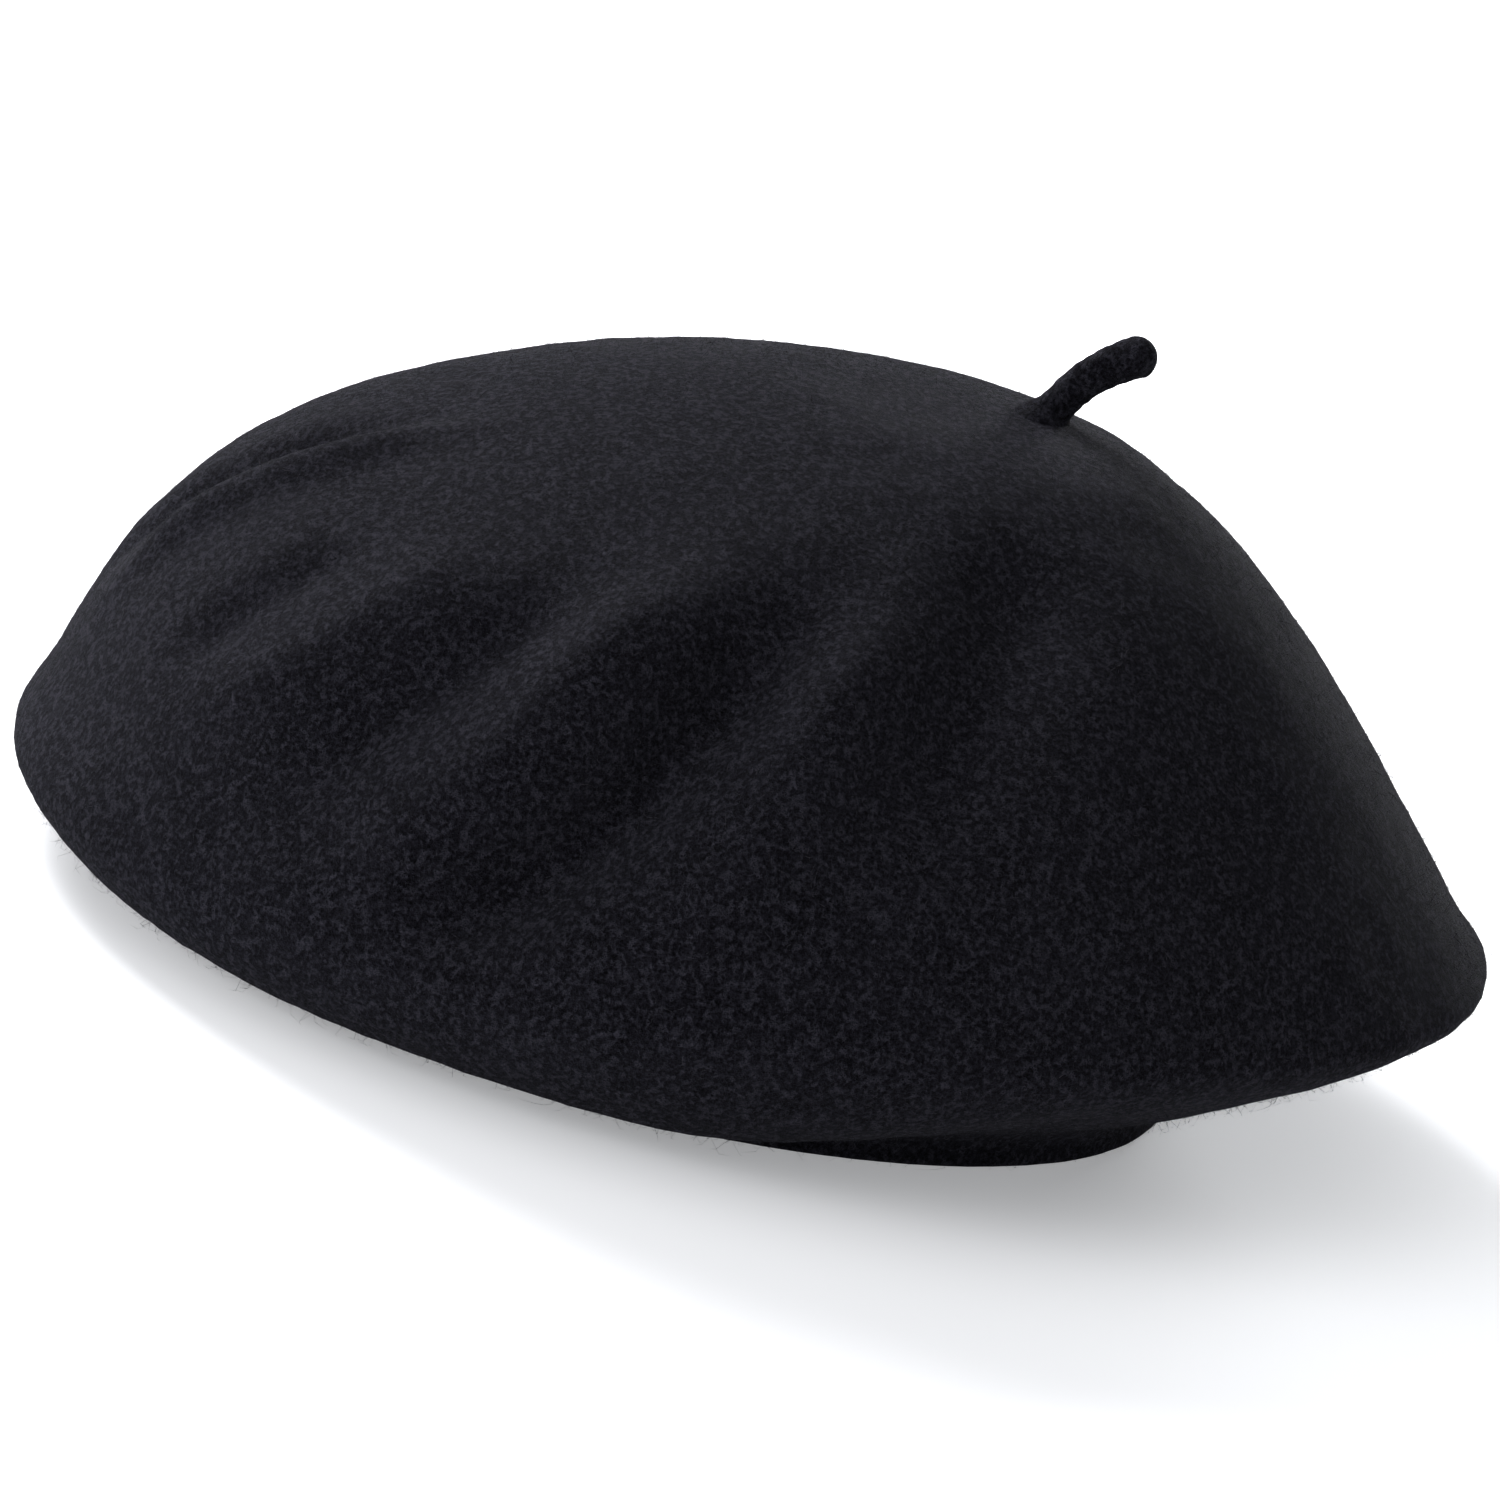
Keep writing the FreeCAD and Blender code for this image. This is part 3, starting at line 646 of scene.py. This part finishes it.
def fibre_mesh(root, normal, along, length, lift, radius, segments):
    """Tapered three-sided fibres, all with the same number of segments."""
    count = len(root)
    t = np.linspace(0, 1, segments + 1)
    side = np.cross(normal, along)
    points, faces = [], []
    stations = []
    for k, share in enumerate(t):
        rise = lift * np.sin(share * math.pi * 0.62)
        sway = 0.22 * np.sin(share * math.pi * 1.3)
        stations.append(
            root + along * (length * share)[:, None] + normal * (length * rise)[:, None]
            + side * (length * sway)[:, None] - normal * 0.05
        )
    for k in range(segments):
        width = radius * (1 - 0.6 * t[k])
        for corner in range(3):
            turn = corner * 2 * math.pi / 3
            across = side * (width * math.cos(turn))[:, None]
            points.append(stations[k] + across + normal * (width * math.sin(turn))[:, None])
    points.append(stations[-1])
    grid = np.stack(points, axis=1)
    per = 3 * segments + 1
    base = np.arange(count) * per
    for k in range(segments - 1):
        for c in range(3):
            d = (c + 1) % 3
            low = base + 3 * k
            faces.append(np.stack([low + c, low + d, low + 3 + d, low + 3 + c], axis=1))
    top = 3 * (segments - 1)
    tips = [np.stack([base + top + c, base + top + (c + 1) % 3, base + per - 1], axis=1) for c in range(3)]
    roots = [np.stack([base + 2, base + 1, base], axis=1)]
    all_faces = [tuple(f) for block in faces + tips + roots for f in block.tolist()]
    return grid.reshape(-1, 3), all_faces


def surface_spots(dice, count):
    """Random points evenly over the felt's outer face, their normals and random directions along the face."""
    a, b, c = OUTER[:-1], np.roll(OUTER, -1, axis=1)[:-1], OUTER[1:]
    area = np.linalg.norm(np.cross(b - a, c - a), axis=-1)
    pick = dice.choice(area.size, size=count, p=(area / area.sum()).ravel())
    i, j = np.unravel_index(pick, area.shape)
    p, q = dice.rand(count, 1), dice.rand(count, 1)
    k = (j + 1) % COLUMNS
    low, high = (OUTER[row, j] * (1 - p) + OUTER[row, k] * p for row in (i, i + 1))
    root = low * (1 - q) + high * q
    normal = NORMALS[i, j]
    along = dice.normal(size=(count, 3))
    along -= normal * (along * normal).sum(axis=1, keepdims=True)
    return root, normal, along / np.linalg.norm(along, axis=1, keepdims=True)


def make_nap():
    """Short fibres all over, and a few long curled ones."""
    short, strays = 17200, 420
    dice = np.random.RandomState(11)
    root, normal, along = surface_spots(dice, short)
    length = np.clip(dice.lognormal(0.5, 0.45, short), 0.8, 4.5)
    lift = dice.uniform(0.05, 0.95, short)
    parts = [fibre_mesh(root, normal, along, length, lift, dice.uniform(0.028, 0.048, short), 2)]
    root, normal, along = surface_spots(dice, strays)
    length = dice.uniform(3.5, 9.0, strays)
    lift = dice.uniform(0.04, 0.22, strays)
    parts.append(fibre_mesh(root, normal, along, length, lift, dice.uniform(0.03, 0.05, strays), 6))
    points, faces = joined(parts)
    points[:, 2] = np.maximum(points[:, 2], 0.05)
    new_piece("felt_nap", points, faces, NAP_LOOK, slot="wool_felt")


make_nap()


# Lining

def lining_grid(low, high, depth):
    """Rows of the crown's grid between two ring numbers, at a depth."""
    chosen = np.where((ROWS >= low) & (ROWS <= high))[0]
    return inset(depth)[chosen]


def make_lining():
    """Satin side from the hem to the rim, and satin tip with small gathers at the seam."""
    angle = np.linspace(0, 2 * math.pi, COLUMNS, endpoint=False)
    rows = ROWS[:, None]
    gather = np.exp(-np.clip(rows - RIM, 0, None) / 0.9) * (rows > RIM - 1)
    pleats = 0.5 + 0.5 * np.sin(53 * angle + 2.0 * np.sin(5 * angle)) * np.cos(7 * angle)
    creases = 0.5 + 0.5 * lumps(OUTER, 17.0, 31)
    tip_depth = TIP_INSET + 0.25 + 0.9 * gather * pleats + 0.7 * creases
    side_depth = SIDE_INSET + 0.25 + 0.45 * creases
    tip_faces = [lining_grid(RIM + 0.05, POLE, depth) for depth in (tip_depth, tip_depth + SATIN)]
    side_faces = [lining_grid(0.55, RIM + 0.06, depth) for depth in (side_depth, side_depth + SATIN)]
    tip, side = shell(*tip_faces, True), shell(*side_faces, False)
    tip_piece = new_piece("lining_tip_satin", *tip, SATIN_LOOK, slot="satin", replaces=("lining_tip",))
    side_piece = new_piece("lining_side_satin", *side, SATIN_LOOK, slot="satin", replaces=("lining_side",))
    return tip_piece, side_piece, tip_depth


tip_lining, side_lining, TIP_DEPTH = make_lining()


def make_seam():
    """Stitches round the lining's seam, just inside the rim."""
    row = int(np.argmin(np.abs(ROWS - (RIM + 0.15))))
    ring = inset(TIP_DEPTH + SATIN + 0.25)[row]
    inward = -NORMALS[row]
    around = np.roll(ring, -1, axis=0) - np.roll(ring, 1, axis=0)
    around /= np.linalg.norm(around, axis=1, keepdims=True)
    parts = []
    for k in range(SEAM_STITCHES):
        j = int((k + 0.5) * COLUMNS / SEAM_STITCHES)
        parts.append(stitch(ring[j], around[j], inward[j], 3.6, 0.28))
    points, faces = joined(parts)
    new_piece("lining_seam_thread", points, faces, THREAD_LOOK, slot="thread",
              replaces=("lining_seam_stitches",))


make_seam()


# Sweatband

BAND_X, BAND_Y = 78.45, 98.45
BAND_LOW, BAND_TALL = 1.0, 28.0
JOINT_STITCHES = 5


def oval_point(angle, out, height):
    """A point out mm outside the band's middle line. Angle 0 is +X, 90 degrees is the back."""
    point = np.stack([BAND_X * np.cos(angle), BAND_Y * np.sin(angle), height + 0 * angle], axis=-1)
    normal = np.stack([np.cos(angle) / BAND_X, np.sin(angle) / BAND_Y, 0 * angle], axis=-1)
    normal /= np.linalg.norm(normal, axis=-1, keepdims=True)
    return point + normal * np.asarray(out)[..., None]


def make_band():
    """Ribbed ribbon once round inside the hem, its ends lapped at the back."""
    ribs, per = 560, 3
    lap = math.radians(5.5)
    angle = np.linspace(math.pi / 2 - lap, math.pi / 2 + 2 * math.pi + lap, ribs * per)
    rib = 0.10 * np.cos(np.arange(ribs * per) * 2 * math.pi / per)
    share = np.linspace(0, 1, ribs * per)
    tuck = -0.45 * np.clip((0.05 - share) / 0.02, 0, 1) + 0.12
    levels = np.array([0.0, 0.015, 0.035, 0.25, 0.5, 0.75, 0.965, 0.985, 1.0])
    thick = np.array([0.12, 0.34, 0.26, 0.25, 0.25, 0.25, 0.26, 0.34, 0.12])
    inside, outside = [], []
    for level, half in zip(levels, thick):
        ripple = 0.30 * np.sin(8 * angle + 1.1) + 0.18 * np.sin(17 * angle)
        wave = level * (0.55 * np.sin(3 * angle + 0.4) + ripple)
        height = BAND_LOW + BAND_TALL * level + 0.35 * level * np.sin(5 * angle + 2)
        relief = rib if 0.02 < level < 0.98 else 0.3 * rib
        inside.append(oval_point(angle, tuck + wave - half - relief, height))
        outside.append(oval_point(angle, tuck + wave + half + relief, height))
    grid = np.array(inside + outside[::-1])
    rows, columns = grid.shape[:2]
    faces = []
    for i in range(rows):
        n = (i + 1) % rows
        for j in range(columns - 1):
            faces.append((i * columns + j, n * columns + j, n * columns + j + 1, i * columns + j + 1))
    faces.append(tuple(i * columns for i in range(rows))[::-1])
    faces.append(tuple(i * columns + columns - 1 for i in range(rows)))
    return new_piece("sweatband_ribbon", grid.reshape(-1, 3), faces, BAND_LOOK, slot="grosgrain",
                     replaces=("sweatband",))


band = make_band()


def make_band_stitches():
    """The row low on the band, and the short upright row at its joint."""
    parts = []
    row_height = 3.5
    for k in range(HEM_STITCHES):
        angle = np.array(2 * math.pi * (k + 0.5) / HEM_STITCHES)
        middle = oval_point(angle, -0.55, row_height)
        ahead = oval_point(angle + 0.01, -0.55, row_height) - middle
        inward = oval_point(angle, -1.55, row_height) - middle
        parts.append(stitch(middle, ahead / np.linalg.norm(ahead), inward, 3.4))
    points, faces = joined(parts)
    new_piece("sweatband_hem_thread", points, faces, THREAD_LOOK, slot="thread",
              replaces=("sweatband_hem_stitches",))
    parts = []
    for k in range(JOINT_STITCHES):
        height = BAND_LOW + BAND_TALL * (k + 1.5) / (JOINT_STITCHES + 1)
        middle = oval_point(np.array(math.pi / 2), -0.95, height)
        parts.append(stitch(middle, (0, 0, 1), (0, -1, 0), 3.4))
    points, faces = joined(parts)
    new_piece("band_joint_thread", points, faces, THREAD_LOOK, slot="thread",
              replaces=("band_joint_stitches",))


make_band_stitches()


# Bow on the band's joint

BOW_BACK, BOW_DEEP, BOW_Z, BOW_TALL, BOW_REACH = 95.7, 2.6, 17.5, 9.0, 15.0
BOW_MID = BOW_BACK - BOW_DEEP / 2


def make_bow():
    """Two soft loops, two cut tails and the knot."""
    loops, tails = [], []
    for side in (1, -1):
        t = np.linspace(0.04, 0.96, 41) * 2 * math.pi
        reach = 2.0 + (BOW_REACH - 2.4) * (1 - np.cos(t)) / 2
        depth = 1.05 * np.sin(t) * np.clip(reach / 6, 0.25, 1) * (1 - 0.25 * (reach / BOW_REACH) ** 3)
        droop = -0.5 * (reach / BOW_REACH) ** 2
        centre = np.stack([side * reach, BOW_MID + depth, BOW_Z + droop], axis=1)
        wide = 5.6 + 3.2 * np.clip((reach - 2) / 7, 0, 1) ** 0.8
        up = np.tile((0.0, 0.0, 1.0), (len(t), 1))
        loops.append(ribbon(centre, up, wide, 0.42, columns=9))
        s = np.linspace(0, 1, 22)
        lean = side * math.radians(24)
        layer = 0.0 if side < 0 else 0.75
        centre = np.stack([
            side * 1.6 + np.sin(lean) * 9.0 * s,
            BOW_MID + 0.5 - layer + 0.35 * np.sin(s * math.pi * 1.4),
            12.6 - 9.0 * np.cos(lean) * s,
        ], axis=1)
        across = np.tile((math.cos(lean), 0.0, math.sin(lean)), (len(s), 1))
        wide = 4.8 + 2.0 * np.clip(s / 0.5, 0, 1)
        points, faces = ribbon(centre, across, wide, 0.42, columns=9)
        points = np.asarray(points)
        row = len(points) // len(s)
        end = np.arange(len(points)) >= row * (len(s) - 1)
        slant = (points[:, 0] - centre[-1, 0]) * side
        points[end] += np.outer(0.35 * slant[end], (0, 0, 1.0))
        tails.append((points, faces))
    points, faces = joined(loops)
    new_piece("bow_loop_ribbon", points, faces, BOW_LOOK, slot="bow_ribbon", replaces=("bow_loops",))
    points, faces = joined(tails)
    new_piece("bow_tail_ribbon", points, faces, BOW_LOOK, slot="bow_ribbon", replaces=("bow_tails",))
    t = np.linspace(0, 2 * math.pi, 49)
    height = (BOW_TALL - 0.5) / 2
    rounded = np.sign(np.cos(t)) * np.abs(np.cos(t)) ** 0.7, np.sign(np.sin(t)) * np.abs(np.sin(t)) ** 0.8
    y = BOW_MID + (BOW_DEEP / 2 + 0.25) * rounded[0]
    centre = np.stack([0 * t, y, BOW_Z + height * rounded[1]], axis=1)
    across = np.tile((1.0, 0.0, 0.0), (len(t), 1))
    points, faces = ribbon(centre, across, 5.4 - 0.9 * np.abs(np.cos(t)) ** 2, 0.45, columns=9)
    pinch = 0.22 * np.cos(points[:, 0] * 2.6)
    pinched = np.abs(points[:, 2] - BOW_Z) < height * 0.9
    points[:, 1] += np.where(points[:, 1] < BOW_MID, -pinch, pinch) * pinched
    new_piece("bow_knot_ribbon", points, faces, BOW_LOOK, slot="bow_ribbon", replaces=("bow_knot",))
    front = BOW_MID - BOW_DEEP / 2 - 0.75
    parts = [stitch((0, front, BOW_Z + z), (1, 0, 0), (0, -1, 0), 2.6, 0.28) for z in (-2, 2)]
    points, faces = joined(parts)
    new_piece("bow_thread", points, faces, THREAD_LOOK, slot="thread", replaces=("bow_stitches",))


make_bow()


# Labels

def cloth_patch(middle, wide, tall, thick, curl, folded):
    """A small piece of tape in the Y-Z plane, bowed by curl mm, with its folded edges a little thicker."""
    columns, rows = 25, 23
    y = np.linspace(-wide / 2, wide / 2, columns)
    z = np.linspace(-tall / 2, tall / 2, rows)
    zz, yy = np.meshgrid(z, y, indexing="ij")
    bow_out = curl * (1 - (2 * yy / wide) ** 2) * (0.5 - zz / tall)
    edge = np.minimum(np.abs(wide / 2 - np.abs(yy)), 9.0) if "y" in folded else 9.0 + 0 * yy
    if "z" in folded:
        edge = np.minimum(edge, np.abs(zz + tall / 2))
    half = thick / 2 * np.where(edge < 0.01, 0.45, 1.0) * (1 + 0.35 * np.exp(-((edge - 0.8) / 0.9) ** 2))
    front = np.stack([middle[0] + bow_out + half, middle[1] + yy, middle[2] + zz], axis=-1)
    back = np.stack([middle[0] + bow_out - half, middle[1] + yy, middle[2] + zz], axis=-1)
    points = np.concatenate([front.reshape(-1, 3), back.reshape(-1, 3)])
    half_count = rows * columns
    faces = strip_faces(rows, columns, wrap=False)
    faces += strip_faces(rows, columns, half_count, wrap=False, flip=True)
    rim = list(range(columns))
    rim += [i * columns + columns - 1 for i in range(1, rows)]
    rim += [(rows - 1) * columns + i for i in range(columns - 2, -1, -1)]
    rim += [i * columns for i in range(rows - 2, 0, -1)]
    for a, b in zip(rim, rim[1:] + rim[:1]):
        faces.append((a, half_count + a, half_count + b, b))
    return points, faces


def make_labels():
    """A blank size tab sewn flat on the left, and a blank care label, returned, that hangs on the right."""
    points, faces = cloth_patch((77.0, 0, 14.0), 14.0, 9.0, 0.34, -0.15, "y")
    new_piece("size_label_tape", points, faces, LABEL_LOOK, slot="label", replaces=("size_label",))
    rows = [((76.62, 0, z), (0, 1, 0), 9.0) for z in (10.5, 17.5)]
    rows += [((76.62, y, 14.0), (0, 0, 1), 5.0) for y in (-6.0, 6.0)]
    parts = [stitch(middle, along, (-1, 0, 0), length, 0.26) for middle, along, length in rows]
    points, faces = joined(parts)
    new_piece("size_label_thread", points, faces, THREAD_LOOK, slot="thread",
              replaces=("size_label_stitches",))
    points, faces = cloth_patch((-77.02, 0, 15.0), 22.0, 20.0, 0.34, 0.7, "yz")
    care = new_piece("care_label_tape", points, faces, LABEL_LOOK, body="care_label", slot="label",
                     replaces=("care_label",))
    parts = [stitch((-77.0, 4.4 * (k + 0.5) - 11, 25.55), (0, 1, 0), (1, 0, 0), 3.2, 0.27) for k in range(5)]
    points, faces = joined(parts)
    new_piece("care_label_thread", points, faces, THREAD_LOOK, slot="thread",
              replaces=("care_label_stitches",))
    return care


care_label = make_labels()


# Root pad under the stalk, between felt and lining

def make_root_pad():
    """A felt disc with a soft edge, returned, and the ring of stitches that tacks it down."""
    low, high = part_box("stalk_root_pad")
    centre = (Vector(low) + Vector(high)) / 2 / MM
    slope = 2.0 / 69.0
    tack_stitches, tack_ring = 8, 5.6
    turn = np.linspace(0, 2 * math.pi, 72, endpoint=False)
    profile = (
        (0.2, 0.33), (3.0, 0.34), (5.0, 0.30), (5.6, 0.16), (6.2, 0.30), (7.1, 0.28), (7.4, 0.12),
        (7.4, -0.12), (7.1, -0.28), (6.2, -0.30), (5.6, -0.16), (5.0, -0.30), (3.0, -0.34), (0.2, -0.33),
    )
    rings = []
    for radius, up in profile:
        wobble = 1 + 0.012 * np.sin(5 * turn + 1) + 0.008 * np.sin(11 * turn)
        x, y = radius * wobble * np.cos(turn), radius * wobble * np.sin(turn)
        rings.append(np.stack([centre.x + x, centre.y + y, centre.z + up + slope * y], axis=-1))
    points = np.concatenate(rings)
    faces = strip_faces(len(profile), len(turn), flip=True)
    faces.append(tuple(range(len(turn))))
    faces.append(tuple(len(points) - 1 - i for i in range(len(turn))))
    pad = new_piece("root_pad_felt", points, faces, FELT_LOOK, slot="wool_felt", replaces=("stalk_root_pad",))
    parts = []
    for k in range(tack_stitches):
        angle = 2 * math.pi * k / tack_stitches
        x, y = tack_ring * math.cos(angle), tack_ring * math.sin(angle)
        middle = (centre.x + x, centre.y + y, centre.z - 0.42 + slope * y)
        along = (-math.sin(angle), math.cos(angle), slope * math.cos(angle))
        parts.append(stitch(middle, along, (0, 0, -1), 3.2, 0.26))
    points, faces = joined(parts)
    new_piece("root_tack_thread", points, faces, THREAD_LOOK, slot="thread",
              replaces=("stalk_tack_stitches",))
    return pad


root_pad = make_root_pad()

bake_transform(stalk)


# Floor, light and camera

def make_floor():
    """A plain pale floor that glows a little, like a light table, so that the shadow stays soft."""
    mesh = bpy.data.meshes.new("floor")
    side = 8.0
    corners = [(-side, -side, 0), (side, -side, 0), (side, side, 0), (-side, side, 0)]
    mesh.from_pydata(corners, [], [(0, 1, 2, 3)])
    look = Look("pale_floor")
    look.set(Base_Color=(0.93, 0.93, 0.94, 1), Roughness=0.9, Specular_IOR_Level=0.1)
    look.set(Emission_Color=(0.97, 0.98, 1.0, 1), Emission_Strength=0.3)
    mesh.materials.append(look.material)
    floor = bpy.data.objects.new("floor", mesh)
    floor.location.z = -0.0002
    bpy.context.scene.collection.objects.link(floor)


def area_light(name, place, aim, size, power, colour=(1, 1, 1)):
    """A soft square light at place, turned towards aim."""
    lamp = bpy.data.lights.new(name, "AREA")
    lamp.size = size
    lamp.energy = power
    lamp.color = colour
    light = bpy.data.objects.new(name, lamp)
    light.location = place
    light.rotation_euler = (Vector(aim) - Vector(place)).to_track_quat("-Z", "Y").to_euler()
    bpy.context.scene.collection.objects.link(light)


def make_light():
    """Soft white surroundings, brightest overhead and on the left, and two lights behind the beret."""
    world = bpy.data.worlds.new("studio")
    world.use_nodes = True
    nodes, links = world.node_tree.nodes, world.node_tree.links
    background = nodes["Background"]
    background.inputs["Color"].default_value = (0.97, 0.98, 1.0, 1)
    way = nodes.new("ShaderNodeSeparateXYZ")
    links.new(nodes.new("ShaderNodeTexCoord").outputs["Generated"], way.inputs[0])
    shares = []
    for axis, low, high, to_low, to_high in (("Z", -0.05, 0.90, 0.32, 0.85), ("Y", -1.0, 1.0, 1.2, 0.32)):
        share = nodes.new("ShaderNodeMapRange")
        for name, number in (("From Min", low), ("From Max", high), ("To Min", to_low), ("To Max", to_high)):
            share.inputs[name].default_value = number
        links.new(way.outputs[axis], share.inputs["Value"])
        shares.append(share.outputs[0])
    strength = nodes.new("ShaderNodeMath")
    strength.operation = "MULTIPLY"
    for socket, share in zip(strength.inputs, shares):
        links.new(share, socket)
    links.new(strength.outputs[0], background.inputs["Strength"])
    bpy.context.scene.world = world
    area_light("key", (-1.15, -0.80, 0.85), (0, -0.02, 0.06), 0.7, 52, (0.97, 0.98, 1.0))
    area_light("rim", (-1.50, 0.60, 0.35), (0, 0.08, 0.06), 0.5, 22, (0.96, 0.98, 1.0))
    area_light("fill", (0.90, -1.30, 0.60), (0, -0.02, 0.06), 1.0, 13, (0.97, 0.98, 1.0))


def make_camera():
    """Looks at the wearer's left side from a little above, with the beret turned clockwise in the picture."""
    elevation, roll, distance = 18.0, 15.0, 1.2
    e, r = math.radians(elevation), math.radians(roll)
    back = Vector((math.cos(e), 0, math.sin(e)))
    level, up = Vector((0, 1, 0)), Vector((-math.sin(e), 0, math.cos(e)))
    right = math.cos(r) * level + math.sin(r) * up
    top = math.cos(r) * up - math.sin(r) * level
    data = bpy.data.cameras.new("camera")
    data.lens = 160
    data.shift_x = 0.0353
    data.shift_y = -0.040
    camera = bpy.data.objects.new("camera", data)
    place = Vector((0, 0, 0.05)) + back * distance
    turn = Matrix((right, top, back)).transposed().to_4x4()
    camera.matrix_world = Matrix.Translation(place) @ turn
    bpy.context.scene.collection.objects.link(camera)
    bpy.context.scene.camera = camera


make_floor()
make_light()
make_camera()
bpy.context.scene.view_settings.view_transform = "Standard"
